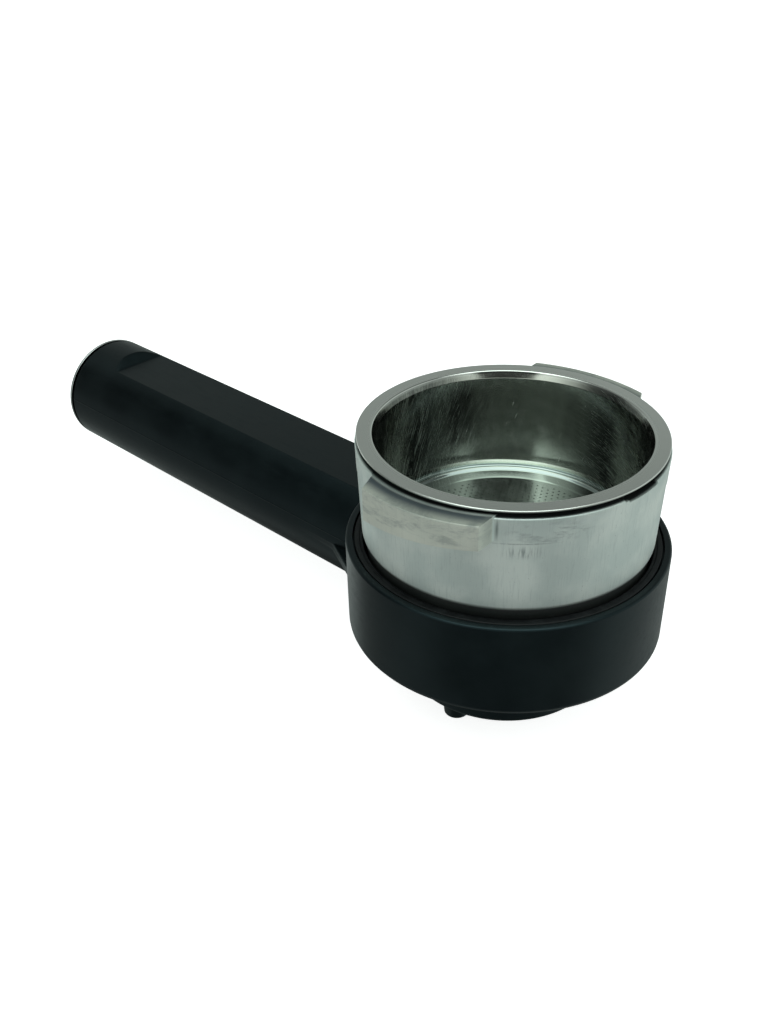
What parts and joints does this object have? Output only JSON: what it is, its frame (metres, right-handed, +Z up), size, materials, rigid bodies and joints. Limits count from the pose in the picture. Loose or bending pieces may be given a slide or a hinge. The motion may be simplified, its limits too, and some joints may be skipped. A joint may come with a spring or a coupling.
{
  "type": "portafilter",
  "caption": "Portafilter with a cast lugged cup, plastic skirt and spout, round handle with a flat top and polished end cap, and a filter basket that turns and lifts out.",
  "frame": {"origin": "centre of the spout plate's flat underside, on the cup's axis", "axes": "+Z up along the cup's axis, out of the basket's mouth; the handle points along -X; the nozzles stand on the Y axis"},
  "size_m": [0.1671, 0.0666, 0.0596],
  "materials": {
    "cast_aluminium": "satin die casting, brushed up the wall",
    "stainless": "polished stainless sheet",
    "spring_steel": "drawn wire and spring sheet",
    "zinc_steel": "zinc-plated fasteners",
    "brass": "turned brass",
    "black_plastic": "fine satin moulding",
    "black_rubber": "matt seal",
    "silicone": "food-grade silicone",
    "chrome": "bright plated"
  },
  "bodies": {
    "holder": {"filter_holder_cup": "cast_aluminium", "lower_skirt": "black_plastic", "skirt_seal_ring": "black_rubber", "skirt_screw_left": "zinc_steel", "skirt_screw_right": "zinc_steel", "spout_housing": "black_plastic", "spout_joint_seal": "black_rubber", "spout_plate": "black_plastic", "spout_screw_handle_side": "zinc_steel", "spout_screw_front": "zinc_steel", "outlet_gasket": "silicone", "handle_grip": "black_plastic", "thread_insert": "brass", "handle_bolt": "zinc_steel", "handle_washer": "zinc_steel", "handle_lock_washer": "spring_steel", "end_plug": "black_plastic", "end_cap": "chrome", "cap_retainer": "spring_steel"},
    "spring_ring": {"retaining_spring": "spring_steel"},
    "basket": {"basket_shell": "stainless", "basket_base_cap": "stainless"}
  },
  "joints": [
    {"name": "basket_turn", "type": "hinge", "parent": "holder", "child": "spring_ring", "pos_m": [0, 0, 0.047], "axis": [0, 0, 1], "continuous": true},
    {"name": "basket_lift", "type": "slide", "parent": "spring_ring", "child": "basket", "axis": [0, 0, 1], "range_m": [0, 0.03]}
  ]
}
